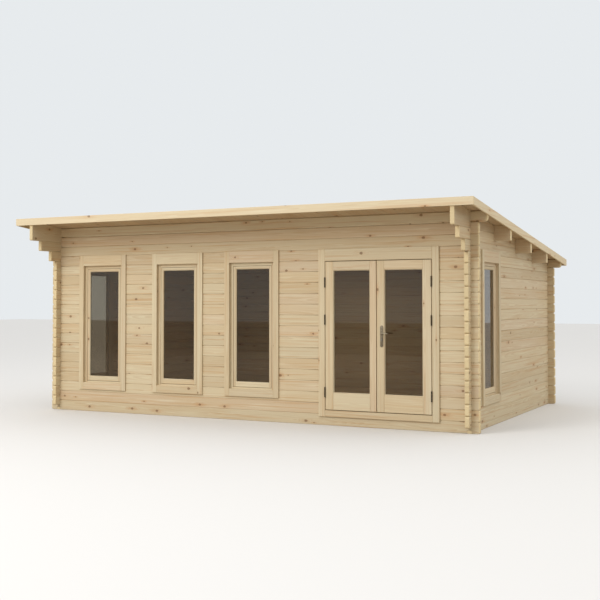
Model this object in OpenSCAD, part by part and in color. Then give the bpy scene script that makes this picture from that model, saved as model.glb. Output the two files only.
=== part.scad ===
// Log cabin with a single-pitch roof, a glazed double door and five windows.
// Millimetres. Z is up, X runs along the front, Y runs from the front to the back.
// The origin is on the ground under the middle of the four walls.

/* [Logs] */
// Height of one course of logs
course_h = 130; // [115:1:150]
// Courses in the front wall
front_courses = 19; // [18:1:21]
// Thickness of the logs
wall_t = 50; // [44:1:60]
// Depth of the cabin over its walls
wall_l = 3770; // [3000:10:4800]
// How far the logs run past a corner
stub = 94; // [60:1:120]
// Bevel along the edges of a log
bevel = 6; // [2:0.5:9]
// Bevel across the ends of a log
end_bevel = 10; // [4:0.5:14]

/* [Front layout] */
// Wall between the left corner and the first window
pier_1 = 383; // [250:1:800]
// Wall between the first and the second window
pier_2 = 424; // [100:1:800]
// Wall between the second and the third window
pier_3 = 325; // [100:1:800]
// Wall between the third window and the door
pier_4 = 540; // [150:1:900]
// Wall between the door and the right corner
pier_5 = 364; // [250:1:900]
// Wall between the front corner and a side window
side_pier = 396; // [250:1:900]

/* [Roof] */
// Slope of the roof in degrees
roof_pitch = 6.05; // [3:0.05:8]
// Overhang in front of the front wall
front_overhang = 595; // [350:1:800]
// Overhang past the side walls
side_overhang = 215; // [150:1:350]
// Overhang behind the back wall
back_overhang = 240; // [150:1:400]
// Thickness of the roof boards
roof_board_t = 20; // [16:1:28]
// Thickness of the felt
felt_t = 3; // [2:0.5:5]
// Height of the boards that edge the roof
edge_board_h = 90; // [75:1:140]
// Thickness of the boards that edge the roof
edge_board_t = 20; // [16:1:28]
// How far the edge boards stand above the felt
edge_lip = 8; // [0:1:15]
// Clearance between the roof boards and what carries them
roof_seat = 0.2; // [0.1:0.1:0.3]
// Width of a purlin
purlin_w = 72; // [45:1:100]
// Depth of a purlin
purlin_h = 180; // [120:1:220]
// Distance from the front wall to the first purlin
purlin_first = 988; // [700:1:1200]
// Distance from the first purlin to the second
purlin_second = 984; // [700:1:1150]
// Distance from the second purlin to the third
purlin_third = 876; // [700:1:1150]
// Length of one step of the stepped logs under the front eaves
corbel_step = 200; // [120:1:220]
// Rounding under the ends of the stepped logs
corbel_r = 15; // [5:1:60]
// Rounding under the ends of the top logs
top_log_r = 40; // [10:1:100]

/* [Openings] */
// Joint between courses at which the windows end
head_course = 15; // [14:1:16]
// Joint between courses at which the windows start
window_sill_course = 3; // [2:1:6]
// Joint between courses at which the doorway starts
door_sill_course = 1; // [1:1:2]
// How far the doorway is cut into the log above it
door_head_cut = 22; // [10:1:60]
// How far a front window is cut into the log below it
window_sill_cut = 10; // [2:1:30]
// How much lower the side windows sit than the front windows
side_window_drop = 28; // [5:1:50]
// Width of a window over its side boards
window_w = 765; // [600:1:900]
// Width of the boards beside a window
window_board_w = 71; // [50:1:110]
// Width of the boards beside the door
door_board_w = 84; // [60:1:110]
// Height of the boards over an opening
head_board_h = 141; // [80:1:150]
// Height of the board under a window
sill_board_h = 93; // [60:1:130]
// How far the board under the door laps the log below
door_sill_lap = 26; // [20:1:80]
// Thickness of the boards round an opening, outside
board_t = 20; // [16:1:26]
// Thickness of the boards round an opening, inside
inner_board_t = 18; // [12:1:24]
// How far the boards lap a window frame
board_lap = 5; // [2:1:15]

/* [Windows] */
// How far a window frame lies behind the face of the wall
frame_set = 20; // [5:1:25]
// Face width of the sides and the top of a window frame
frame_w = 44; // [28:1:55]
// Face height of the bottom of a window frame
frame_sill_h = 24; // [18:1:40]
// Gap round a sash
sash_gap = 4; // [1:0.5:5]
// Face width of the sides and the top of a sash
sash_stile_w = 38; // [30:1:60]
// Face height of the bottom of a sash
sash_sill_h = 65; // [30:1:80]
// Thickness of a sash
sash_t = 34; // [30:1:38]
// How far a sash lies behind the face of its frame
sash_set = 2; // [0:1:4]
// How far the stop behind a sash stands in from the frame
window_stop = 14; // [8:1:25]

/* [Door] */
// Width of one door leaf
leaf_w = 654; // [500:1:800]
// Thickness of a door leaf
leaf_t = 44; // [38:1:50]
// Gap between a leaf and its frame
leaf_gap = 8; // [5:0.5:10]
// Gap between the two leaves
meeting_gap = 9; // [8:0.5:12]
// How far the gap between the leaves lies to the left of the middle of the doorway
meeting_shift = 7; // [0:1:15]
// Face width of the hinged side of a leaf
leaf_stile_w = 110; // [80:1:140]
// Face width of the free side of a leaf, were both leaves equally wide
free_stile_w = 94; // [75:1:120]
// Face height of the top of a leaf
leaf_top_rail_h = 112; // [80:1:160]
// Face height of the bottom of a leaf
leaf_bottom_rail_h = 206; // [120:1:300]
// Thickness of the door's side and head frame
jamb_t = 30; // [24:1:45]
// Height of the threshold
threshold_t = 49; // [40:1:80]
// How far the stop laps the leaves
stop_lap = 15; // [10:1:25]
// Thickness of the glass
glass_t = 4; // [3:1:6]
// Depth of the groove that holds the glass
glass_groove = 10; // [6:1:14]

/* [Hinges and handle] */
// Length of a hinge
hinge_h = 120; // [80:1:130]
// Outer radius of a hinge's knuckles
knuckle_r = 7.5; // [6:0.5:9]
// Radius of a hinge pin
pin_r = 4; // [3:0.5:5]
// Radial clearance of a pin or a handle in its bore
running_fit = 0.05; // [0.02:0.01:0.1]
// Thickness of a hinge plate
plate_t = 2; // [1.5:0.5:2.5]
// Depth of a hinge plate
plate_w = 34; // [24:1:40]
// Distance from the bottom of a leaf to the middle of its bottom hinge
low_hinge_up = 205; // [120:1:300]
// Distance from the top of a leaf to the middle of its top hinge
top_hinge_down = 246; // [120:1:300]
// Distance between the middles of the two upper hinges
upper_hinge_pitch = 441; // [300:1:800]
// Height of the handle over the bottom of the leaf
handle_z = 908; // [800:1:1000]
// Distance from the edge of the leaf to the handle
handle_inset = 62; // [45:1:70]
// Width of the lock plates
lock_plate_w = 38; // [30:1:50]
// Height of the lock plates
lock_plate_h = 250; // [180:1:280]
// Thickness of the lock plates
lock_plate_t = 6; // [3:0.5:9]
// Height of the handle over the middle of its plate
handle_rise = 36; // [0:1:70]
// Radius of the handle's neck
neck_r = 9; // [7:0.5:12]
// Radius of the handle's grip
grip_r = 8; // [6:0.5:10]
// Length of the handle from its turning axis
grip_l = 102; // [90:1:150]
// Distance from the lock plate to the middle of the grip
grip_out = 46; // [35:1:60]
// Radius of the spindle through the leaf
spindle_r = 6; // [5:0.5:8]
// Radius of the hole for the spindle
spindle_hole_r = 12; // [11:0.5:16]

/* [Floor] */
// Height of the floor joists
joist_h = 95; // [60:1:100]
// Width of the floor joists
joist_w = 45; // [38:1:60]
// Number of floor joists
joist_count = 9; // [5:1:12]
// Thickness of the floor boards
floor_board_t = 26; // [19:1:28]
// Clearance of the floor from the walls
floor_gap = 0.3; // [0.2:0.1:0.5]

/* [Hidden] */
$fn = 48;

// Room that a cutting shape has past the face it cuts
past = 5;
// Smallest difference between two heights that counts
same = 0.001;
// Gap between the knuckles of a hinge
knuckle_gap = 0.5;
// Gap between a knuckle and the face of the door
knuckle_clear = 1;

// Walls
door_clear_w = 2 * leaf_w + meeting_gap + 2 * leaf_gap;
door_trim_w = door_clear_w + 2 * door_board_w;
wall_w = pier_1 + pier_2 + pier_3 + pier_4 + pier_5 + 3 * window_w + door_trim_w;
right_x = wall_w / 2;
left_x = -right_x;
back_y = wall_l / 2;
front_y = -back_y;
front_h = front_courses * course_h;
half_course = course_h / 2;
gable_z = head_course * course_h + half_course;
top_log_z = (front_courses - 1) * course_h;
corbel_z = gable_z + 2 * course_h;

// Roof: heights are measured along Z from the underside of the boards
slope = tan(roof_pitch);
function under_z(y) = front_h - (y - front_y) * slope;
roof_rise = roof_board_t / cos(roof_pitch);
felt_rise = roof_rise + felt_t / cos(roof_pitch);
edge_top = felt_rise + edge_lip;
edge_bottom = edge_top - edge_board_h;
roof_front = front_y - front_overhang;
roof_back = back_y + back_overhang;
roof_x = right_x + side_overhang;
boards_front = roof_front + edge_board_t;
boards_back = roof_back - edge_board_t;
boards_x = roof_x - edge_board_t;
sky = under_z(roof_front) + edge_board_h;
back_top_log_z = course_h * ceil(under_z(back_y) / course_h - 1);

// Openings
window_open_w = window_w - 2 * window_board_w;
window_hole_w = window_open_w + 2 * board_lap;
window_low = window_sill_course * course_h - window_sill_cut;
window_high = head_course * course_h;
window_1_x = left_x + pier_1 + window_w / 2;
window_2_x = window_1_x + window_w + pier_2;
window_3_x = window_2_x + window_w + pier_3;
door_x = window_3_x + window_w / 2 + pier_4 + door_trim_w / 2;
side_window_y = front_y + side_pier + window_w / 2;
window_h = window_high - window_low;
sash_w = window_hole_w - 2 * frame_w - 2 * sash_gap;
sash_h = window_h - frame_w - frame_sill_h - 2 * sash_gap;
sash_from = frame_set + sash_set;
sash_to = sash_from + sash_t;
sash_glass_set = sash_from + sash_t / 2 - glass_t / 2;
door_low = door_sill_course * course_h;
door_high = head_course * course_h + door_head_cut;
door_hole_w = door_clear_w + 2 * jamb_t;
clear_low = door_low + threshold_t;
clear_high = door_high - jamb_t;

// Door leaves
face_y = front_y - board_t;
leaf_low = clear_low + leaf_gap;
leaf_high = clear_high - leaf_gap;
leaf_h = leaf_high - leaf_low;
pane_w = leaf_w - leaf_stile_w - free_stile_w;
leaf_back = face_y + leaf_t;
stop_y = leaf_back + leaf_gap;
stop_w = leaf_gap + stop_lap;
pin_x = door_clear_w / 2 - leaf_gap / 2;
pin_y = face_y - knuckle_r - knuckle_clear;
knuckle_h = hinge_h / 3;
top_hinge_z = leaf_high - top_hinge_down;
hinge_zs = [leaf_low + low_hinge_up, top_hinge_z - upper_hinge_pitch, top_hinge_z];
meeting_x = door_x - meeting_shift;
handle_x = meeting_x + meeting_gap / 2 + handle_inset;
lever_z = leaf_low + handle_z;
glass_set = leaf_t / 2 - glass_t / 2;

// Floor
floor_z = joist_h;
room_x = right_x - wall_t - floor_gap;
room_y = back_y - wall_t - floor_gap;

// ---- Logs ----

// Heights of the joints between courses from low to high, counted from offset
function joints(low, high, offset) =
    [for (k = [ceil((low - offset - same) / course_h) : floor((high - offset + same) / course_h)])
        offset + k * course_h];

// One face of a stack of logs, from low to high, with a V at each joint height in zs
function log_face(low, high, zs, depth, into) =
    let (ends = [for (z = zs) if (z < low + bevel || z > high - bevel) z])
    concat(
        len([for (z = ends) if (z < low + bevel) z]) == 0 ? [[depth, low]] : [],
        [for (z = zs) for (s = [-1, 0, 1])
            if (z + s * bevel > low - same && z + s * bevel < high + same)
                [depth + (s == 0 ? into * bevel : 0), z + s * bevel]],
        len([for (z = ends) if (z > high - bevel) z]) == 0 ? [[depth, high]] : []
    );

function reversed(list) = [for (i = [len(list) - 1 : -1 : 0]) list[i]];

module log_section(low, high, zs) {
    polygon(concat(
        log_face(low, high, zs, 0, 1),
        reversed(log_face(low, high, zs, wall_t, -1))
    ));
}

// A stack of logs with its length along Z, the joints open in a V at both ends too
module logs(length, low, high, zs) {
    side = end_bevel * sqrt(2);
    difference() {
        linear_extrude(length)
            log_section(low, high, zs);
        for (z = zs)
            for (end = [0, length])
                translate([wall_t / 2, z, end])
                    rotate([45, 0, 0])
                        cube([wall_t + 2 * past, side, side], center = true);
    }
}

// A stack of logs along X, its outer or front face at y
module logs_x(from, to, y, low, high) {
    translate([from, y, 0])
        rotate([90, 0, 90])
            logs(to - from, low, high, joints(low, high, 0));
}

// A stack of logs along Y, its lower X face at x
module logs_y(from, to, x, low, high) {
    translate([x, to, 0])
        rotate([90, 0, 0])
            logs(to - from, low, high, joints(low, high, half_course));
}

// One deep log along Y, its lower X face at x, with a joint only under it
module deep_log_y(from, to, x, low, high) {
    translate([x, to, 0])
        rotate([90, 0, 0])
            logs(to - from, low, high, [low]);
}

// What the side walls' logs take out of a front or back wall at both corners
module corner_cuts_x(y, low, high) {
    for (side = [-1, 1])
        for (z = joints(low, high, 0))
            translate([side * (right_x - wall_t / 2), y + wall_t / 2, z])
                cube([wall_t, wall_t + 2 * past, half_course], center = true);
}

// What the front and back walls' logs take out of a side wall at both corners
module corner_cuts_y(x, low, high) {
    for (side = [-1, 1])
        for (z = joints(low, high, half_course))
            translate([x + wall_t / 2, side * (back_y - wall_t / 2), z])
                cube([wall_t + 2 * past, wall_t, half_course], center = true);
}

module box(from, to) {
    translate(from)
        cube(to - from);
}

// Everything above what carries the roof boards
module above_roof() {
    roof_slab(-roof_x - past, roof_x + past, roof_front - past, roof_back + past,
        -roof_seat, sky);
}

// A slab parallel to the roof with upright ends
module roof_slab(x_from, x_to, y_from, y_to, low, high) {
    translate([x_from, 0, 0])
        rotate([90, 0, 90])
            linear_extrude(x_to - x_from)
                polygon([
                    [y_from, under_z(y_from) + low], [y_to, under_z(y_to) + low],
                    [y_to, under_z(y_to) + high], [y_from, under_z(y_from) + high]
                ]);
}

// What rounds off the lower end corner of a log that ends at x, towards side
module end_rounding_x(x, side, y, low, r) {
    translate([x - side * r, y + wall_t / 2, low + r])
        rotate([90, 0, 0])
            difference() {
                translate([side * (r + past) / 2, -(r + past) / 2, 0])
                    cube([r + past, r + past, wall_t + 2 * past], center = true);
                cylinder(r = r, h = wall_t + 4 * past, center = true);
            }
}

module end_rounding_y(y, x, low, r) {
    translate([x + wall_t / 2, y + r, low + r])
        rotate([0, 90, 0])
            difference() {
                translate([(r + past) / 2, -(r + past) / 2, 0])
                    cube([r + past, r + past, wall_t + 2 * past], center = true);
                cylinder(r = r, h = wall_t + 4 * past, center = true);
            }
}

// ---- Openings through the walls ----

module front_openings() {
    for (x = [window_1_x, window_2_x, window_3_x])
        box([x - window_hole_w / 2, front_y - past, window_low],
            [x + window_hole_w / 2, front_y + wall_t + past, window_high]);
    box([door_x - door_hole_w / 2, front_y - past, door_low],
        [door_x + door_hole_w / 2, front_y + wall_t + past, door_high]);
}

module side_opening(x) {
    box([x - past, side_window_y - window_hole_w / 2, window_low - side_window_drop],
        [x + wall_t + past, side_window_y + window_hole_w / 2,
            window_high - side_window_drop]);
}

// ---- Front and back walls ----

module front_logs(from, to, low, high) {
    color("burlywood")
        difference() {
            logs_x(from, to, front_y, low, high);
            corner_cuts_x(front_y, low, high);
            front_openings();
        }
}

module front_wall_bottom() {
    front_logs(left_x - stub, right_x + stub, 0, door_low);
}

module front_wall_left() {
    front_logs(left_x - stub, door_x, door_low, window_high);
}

module front_wall_right() {
    front_logs(door_x, right_x + stub, door_low, window_high);
}

module front_wall_top() {
    color("burlywood")
        difference() {
            union() {
                logs_x(left_x - stub, right_x + stub, front_y, window_high, front_h);
                logs_x(-boards_x, boards_x, front_y, top_log_z, front_h);
            }
            corner_cuts_x(front_y, window_high, front_h);
            front_openings();
            above_roof();
            for (side = [-1, 1])
                end_rounding_x(side * boards_x, side, front_y, top_log_z, top_log_r);
        }
}

module back_wall() {
    inner_y = back_y - wall_t;
    top = back_top_log_z + course_h;
    color("burlywood")
        difference() {
            union() {
                logs_x(left_x - stub, right_x + stub, inner_y, 0, top);
                logs_x(-boards_x, boards_x, inner_y, back_top_log_z, top);
            }
            corner_cuts_x(inner_y, 0, top);
            above_roof();
            for (side = [-1, 1])
                end_rounding_x(side * boards_x, side, inner_y, back_top_log_z, top_log_r);
        }
}

// ---- Side walls ----

module side_wall(x) {
    color("burlywood")
        difference() {
            union() {
                logs_y(front_y, back_y, x, 0, half_course);
                logs_y(front_y - stub, back_y + stub, x, half_course, gable_z);
            }
            corner_cuts_y(x, 0, gable_z);
            side_opening(x);
            purlin_seats();
            above_roof();
        }
}

module left_wall() {
    side_wall(left_x);
}

module right_wall() {
    side_wall(right_x - wall_t);
}

// The part of a side wall that the slope of the roof cuts: stepped logs with a deep log on top
module gable(x) {
    steps = [
        [front_y - corbel_step, gable_z],
        [front_y - 2 * corbel_step, gable_z + course_h],
        [boards_front, corbel_z]
    ];
    color("burlywood")
        difference() {
            union() {
                for (s = [steps[0], steps[1]])
                    logs_y(s[0], back_y + stub, x, s[1], s[1] + course_h);
                deep_log_y(boards_front, back_y + stub, x, corbel_z, sky);
            }
            corner_cuts_y(x, gable_z, sky);
            purlin_seats();
            above_roof();
            for (s = steps)
                end_rounding_y(s[0], x, s[1], corbel_r);
        }
}

module left_gable() {
    gable(left_x);
}

module right_gable() {
    gable(right_x - wall_t);
}

// ---- Roof ----

module purlin_seats() {
    second_y = front_y + purlin_first + purlin_second;
    for (y = [front_y + purlin_first, second_y, second_y + purlin_third]) {
        box([-boards_x, y - purlin_w / 2, under_z(y) - purlin_h],
            [boards_x, y + purlin_w / 2, under_z(y) + purlin_h]);
    }
}

module purlins() {
    color("wheat")
        difference() {
            purlin_seats();
            above_roof();
        }
}

module roof_boards() {
    color("wheat")
        roof_slab(-boards_x, boards_x, boards_front, boards_back, 0, roof_rise);
}

module roof_felt() {
    color("dimgray")
        roof_slab(-boards_x, boards_x, boards_front, boards_back, roof_rise, felt_rise);
}

module front_fascia() {
    color("wheat")
        roof_slab(-roof_x, roof_x, roof_front, boards_front, edge_bottom, edge_top);
}

module back_fascia() {
    color("wheat")
        roof_slab(-roof_x, roof_x, boards_back, roof_back, edge_bottom, edge_top);
}

module bargeboard(from) {
    color("wheat")
        roof_slab(from, from + edge_board_t, boards_front, boards_back, edge_bottom, edge_top);
}

module left_bargeboard() {
    bargeboard(-roof_x);
}

module right_bargeboard() {
    bargeboard(boards_x);
}

// ---- Floor ----

module floor_joists() {
    spread = 2 * room_x - joist_w;
    color("tan")
        for (i = [0 : joist_count - 1])
            translate([-room_x + i * spread / (joist_count - 1), -room_y, 0])
                cube([joist_w, 2 * room_y, joist_h]);
}

module floor_boards() {
    color("tan")
        box([-room_x, -room_y, floor_z], [room_x, room_y, floor_z + floor_board_t]);
}

// ---- Windows: drawn at the origin, outer wall face at Y = 0, sill at Z = 0 ----

// A frame of width w and height h with a hole, from y_from to y_to
module ring(w, h, side, low, high, y_from, y_to) {
    difference() {
        box([-w / 2, y_from, 0], [w / 2, y_to, h]);
        box([-w / 2 + side, y_from - past, low], [w / 2 - side, y_to + past, h - high]);
    }
}

module window_frame() {
    lip = frame_w + window_stop;
    stop_from = sash_to + floor_gap;
    frame_back = wall_t + inner_board_t;
    board_h = window_h - 2 * board_lap + head_board_h + sill_board_h;
    union() {
        ring(window_hole_w, window_h, board_lap, board_lap, board_lap, 0, frame_set);
        ring(window_hole_w, window_h, frame_w, frame_sill_h, frame_w, frame_set, stop_from);
        ring(window_hole_w, window_h, lip, frame_sill_h + window_stop, lip,
            stop_from, frame_back);
        translate([0, 0, board_lap - sill_board_h]) {
            ring(window_w, board_h, window_board_w, sill_board_h, head_board_h, -board_t, 0);
            ring(window_w, board_h, window_board_w, sill_board_h, head_board_h,
                wall_t, frame_back);
        }
    }
}

module sash_glass() {
    translate([0, 0, frame_sill_h + sash_gap])
        box([-sash_w / 2 + sash_stile_w - glass_groove, sash_glass_set,
                sash_sill_h - glass_groove],
            [sash_w / 2 - sash_stile_w + glass_groove, sash_glass_set + glass_t,
                sash_h - sash_stile_w + glass_groove]);
}

module window_sash() {
    difference() {
        translate([0, 0, frame_sill_h + sash_gap])
            ring(sash_w, sash_h, sash_stile_w, sash_sill_h, sash_stile_w, sash_from, sash_to);
        sash_glass();
    }
}

module in_front(x) {
    translate([x, front_y, window_low])
        children();
}

module in_left() {
    translate([left_x, side_window_y, window_low - side_window_drop])
        rotate([0, 0, -90])
            children();
}

module in_right() {
    translate([right_x, side_window_y, window_low - side_window_drop])
        rotate([0, 0, 90])
            children();
}

module window_1_frame() {
    color("wheat") in_front(window_1_x) window_frame();
}

module window_2_frame() {
    color("wheat") in_front(window_2_x) window_frame();
}

module window_3_frame() {
    color("wheat") in_front(window_3_x) window_frame();
}

module left_window_frame() {
    color("wheat") in_left() window_frame();
}

module right_window_frame() {
    color("wheat") in_right() window_frame();
}

module window_1_sash() {
    color("wheat") in_front(window_1_x) window_sash();
}

module window_2_sash() {
    color("wheat") in_front(window_2_x) window_sash();
}

module window_3_sash() {
    color("wheat") in_front(window_3_x) window_sash();
}

module left_window_sash() {
    color("wheat") in_left() window_sash();
}

module right_window_sash() {
    color("wheat") in_right() window_sash();
}

module window_1_glass() {
    color("slategray", 0.4) in_front(window_1_x) sash_glass();
}

module window_2_glass() {
    color("slategray", 0.4) in_front(window_2_x) sash_glass();
}

module window_3_glass() {
    color("slategray", 0.4) in_front(window_3_x) sash_glass();
}

module left_window_glass() {
    color("slategray", 0.4) in_left() sash_glass();
}

module right_window_glass() {
    color("slategray", 0.4) in_right() sash_glass();
}

// ---- Door frame ----

module door_frame() {
    clear_h = clear_high - clear_low;
    color("wheat")
        difference() {
            box([door_x - door_hole_w / 2, front_y, door_low],
                [door_x + door_hole_w / 2, front_y + wall_t, door_high]);
            translate([door_x, front_y - past, clear_low])
                box([-door_clear_w / 2, 0, 0],
                    [door_clear_w / 2, stop_y - front_y + past, clear_h]);
            translate([door_x, front_y, clear_low])
                box([-door_clear_w / 2 + stop_w, 0, stop_w],
                    [door_clear_w / 2 - stop_w, wall_t + past, clear_h - stop_w]);
        }
}

module door_trim() {
    board_low = door_low - door_sill_lap;
    board_h = clear_high + head_board_h - board_low;
    color("wheat") {
        translate([door_x, front_y, board_low])
            ring(door_trim_w, board_h, door_board_w, clear_low - board_low, head_board_h,
                -board_t, 0);
        difference() {
            translate([door_x, front_y, door_low])
                ring(door_trim_w, clear_high + head_board_h - door_low, door_board_w + stop_w,
                    threshold_t + stop_w, head_board_h + stop_w, wall_t, wall_t + inner_board_t);
            box([door_x - door_hole_w / 2, front_y, 0],
                [door_x + door_hole_w / 2, back_y, clear_low]);
        }
    }
}

// ---- Hinges: drawn round the pin of the right door, leaf towards -X, middle at Z = 0 ----

// A knuckle with its arm to a plate whose lower X is x
module knuckle(x) {
    linear_extrude(height = knuckle_h - knuckle_gap, center = true) {
        circle(r = knuckle_r);
        translate([x, 0])
            square([plate_t, knuckle_r + 2 * knuckle_clear]);
    }
}

module hinge_plate(x) {
    linear_extrude(height = hinge_h, center = true)
        translate([x, knuckle_r + knuckle_clear])
            square([plate_t, plate_w]);
}

module fixed_half() {
    x = leaf_gap / 2 - plate_t;
    cylinder(r = pin_r, h = hinge_h, center = true);
    for (side = [-1, 1])
        translate([0, 0, side * knuckle_h])
            knuckle(x);
    hinge_plate(x);
}

module leaf_half() {
    x = -leaf_gap / 2;
    difference() {
        union() {
            knuckle(x);
            hinge_plate(x);
        }
        cylinder(r = pin_r + running_fit, h = hinge_h, center = true);
    }
}

// The three hinges of the leaf on this side of the doorway: 1 is right, -1 is left
module at_hinges(side) {
    for (z = hinge_zs)
        translate([door_x + side * pin_x, pin_y, z])
            mirror([side > 0 ? 0 : 1, 0, 0])
                children();
}

module door_frame_hinges() {
    color("dimgray")
        for (side = [-1, 1])
            at_hinges(side)
                fixed_half();
}

module left_door_hinges() {
    color("dimgray") at_hinges(-1) leaf_half();
}

module right_door_hinges() {
    color("dimgray") at_hinges(1) leaf_half();
}

// ---- Door leaves: drawn with the lower hinged corner of the outer face at the origin ----

module leaf_glass() {
    box([leaf_stile_w - glass_groove, glass_set, leaf_bottom_rail_h - glass_groove],
        [leaf_stile_w + pane_w + glass_groove, glass_set + glass_t,
            leaf_h - leaf_top_rail_h + glass_groove]);
}

module leaf(w) {
    difference() {
        cube([w, leaf_t, leaf_h]);
        box([leaf_stile_w, -past, leaf_bottom_rail_h],
            [leaf_stile_w + pane_w, leaf_t + past, leaf_h - leaf_top_rail_h]);
        leaf_glass();
    }
}

module at_left_leaf() {
    translate([door_x - door_clear_w / 2 + leaf_gap, face_y, leaf_low])
        children();
}

module at_right_leaf() {
    translate([door_x + door_clear_w / 2 - leaf_gap, face_y, leaf_low])
        mirror([1, 0, 0])
            children();
}

module left_door() {
    color("wheat") at_left_leaf() leaf(leaf_w - meeting_shift);
}

module left_door_glass() {
    color("slategray", 0.4) at_left_leaf() leaf_glass();
}

module right_door() {
    color("wheat")
        difference() {
            at_right_leaf() leaf(leaf_w + meeting_shift);
            along_spindle(face_y - past, leaf_back + past)
                circle(r = spindle_hole_r);
        }
}

module right_door_glass() {
    color("slategray", 0.4) at_right_leaf() leaf_glass();
}

// ---- Handle ----

// Extrudes a shape along the handle's axis
module along_spindle(from, to) {
    translate([handle_x, to, lever_z])
        rotate([90, 0, 0])
            linear_extrude(to - from)
                children();
}

module lock_plate_shape() {
    straight = lock_plate_h - lock_plate_w;
    difference() {
        translate([0, -handle_rise])
            union() {
                square([lock_plate_w, straight], center = true);
                for (side = [-1, 1])
                    translate([0, side * straight / 2])
                        circle(d = lock_plate_w);
            }
        circle(r = neck_r + running_fit);
    }
}

module lock_plates() {
    color("dimgray") {
        along_spindle(face_y - lock_plate_t, face_y) lock_plate_shape();
        along_spindle(leaf_back, leaf_back + lock_plate_t) lock_plate_shape();
    }
}

module grip(y) {
    translate([handle_x, y, lever_z]) {
        sphere(r = neck_r);
        rotate([0, 90, 0])
            cylinder(r = grip_r, h = grip_l - grip_r);
        translate([grip_l - grip_r, 0, 0])
            sphere(r = grip_r);
    }
}

module door_handle() {
    outer_grip_y = face_y - lock_plate_t - grip_out;
    inner_grip_y = leaf_back + lock_plate_t + grip_out;
    color("dimgray")
        union() {
            along_spindle(outer_grip_y, face_y) circle(r = neck_r);
            along_spindle(face_y, leaf_back) circle(r = spindle_r);
            along_spindle(leaf_back, inner_grip_y) circle(r = neck_r);
            grip(outer_grip_y);
            grip(inner_grip_y);
        }
}

front_wall_bottom();
front_wall_left();
front_wall_right();
front_wall_top();
left_wall();
left_gable();
right_wall();
right_gable();
back_wall();
purlins();
roof_boards();
roof_felt();
front_fascia();
back_fascia();
left_bargeboard();
right_bargeboard();
floor_joists();
floor_boards();
window_1_frame();
window_1_sash();
window_1_glass();
window_2_frame();
window_2_sash();
window_2_glass();
window_3_frame();
window_3_sash();
window_3_glass();
left_window_frame();
left_window_sash();
left_window_glass();
right_window_frame();
right_window_sash();
right_window_glass();
door_frame();
door_trim();
door_frame_hinges();
left_door();
left_door_glass();
left_door_hinges();
right_door();
right_door_glass();
right_door_hinges();
lock_plates();
door_handle();
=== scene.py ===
"""Looks of the log cabin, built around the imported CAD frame. Metres, Z up."""
import math
import random

import bmesh
import bpy
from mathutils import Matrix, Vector

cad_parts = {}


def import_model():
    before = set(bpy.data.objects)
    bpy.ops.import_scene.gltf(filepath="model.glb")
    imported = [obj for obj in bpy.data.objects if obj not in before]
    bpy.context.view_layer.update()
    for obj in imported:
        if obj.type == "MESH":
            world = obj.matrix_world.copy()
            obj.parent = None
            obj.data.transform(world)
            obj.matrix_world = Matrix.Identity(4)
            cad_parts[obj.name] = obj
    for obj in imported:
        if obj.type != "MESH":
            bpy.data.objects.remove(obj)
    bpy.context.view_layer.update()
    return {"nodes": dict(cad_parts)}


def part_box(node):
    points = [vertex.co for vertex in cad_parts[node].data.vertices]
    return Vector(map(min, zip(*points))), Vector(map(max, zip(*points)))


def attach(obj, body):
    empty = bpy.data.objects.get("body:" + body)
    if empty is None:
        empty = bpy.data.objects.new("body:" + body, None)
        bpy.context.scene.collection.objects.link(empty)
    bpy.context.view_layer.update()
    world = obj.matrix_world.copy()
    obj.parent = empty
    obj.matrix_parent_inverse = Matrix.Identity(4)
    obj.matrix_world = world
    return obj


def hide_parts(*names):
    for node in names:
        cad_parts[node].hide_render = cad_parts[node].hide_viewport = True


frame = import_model()
NODES = frame["nodes"]
X, Y, Z = 0, 1, 2


# ---- Sizes read from the frame ----
def solids(node):
    """The box of each solid of a CAD node, lowest X, Y, Z first."""
    mesh = NODES[node].data
    # Corners within a tenth of a millimetre of each other are one
    keys = {}
    ids = [keys.setdefault(tuple(round(c * 1e4) for c in v.co), len(keys)) for v in mesh.vertices]
    parent = list(range(len(keys)))

    def root(i):
        while parent[i] != i:
            parent[i] = parent[parent[i]]
            i = parent[i]
        return i

    for polygon in mesh.polygons:
        first = root(ids[polygon.vertices[0]])
        for i in polygon.vertices[1:]:
            parent[root(ids[i])] = first
    boxes = {}
    for v in mesh.vertices:
        low, high = boxes.setdefault(root(ids[v.index]), (Vector(v.co), Vector(v.co)))
        for axis in range(3):
            low[axis] = min(low[axis], v.co[axis])
            high[axis] = max(high[axis], v.co[axis])
    return sorted(boxes.values(), key=lambda box: tuple(box[0]))


BOTTOM_LOW, BOTTOM_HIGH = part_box("front_wall_bottom")
COURSE = BOTTOM_HIGH.z
FRONT_Y = BOTTOM_LOW.y
WALL_T = BOTTOM_HIGH.y - BOTTOM_LOW.y
RIGHT_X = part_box("right_wall")[1].x
LEFT_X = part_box("left_wall")[0].x
BACK_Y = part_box("back_wall")[1].y
STUB = BOTTOM_HIGH.x - RIGHT_X
# A strip lower than this share of a course isn't a log of its own
SLIVER = 0.05
FRONT_COURSES = math.ceil(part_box("front_wall_top")[1].z / COURSE - SLIVER)
BACK_COURSES = math.ceil(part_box("back_wall")[1].z / COURSE - SLIVER)
GABLE_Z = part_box("right_wall")[1].z
# How much further out each log of the gable runs under the front eaves
CORBEL_STEP = 0.2

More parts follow.
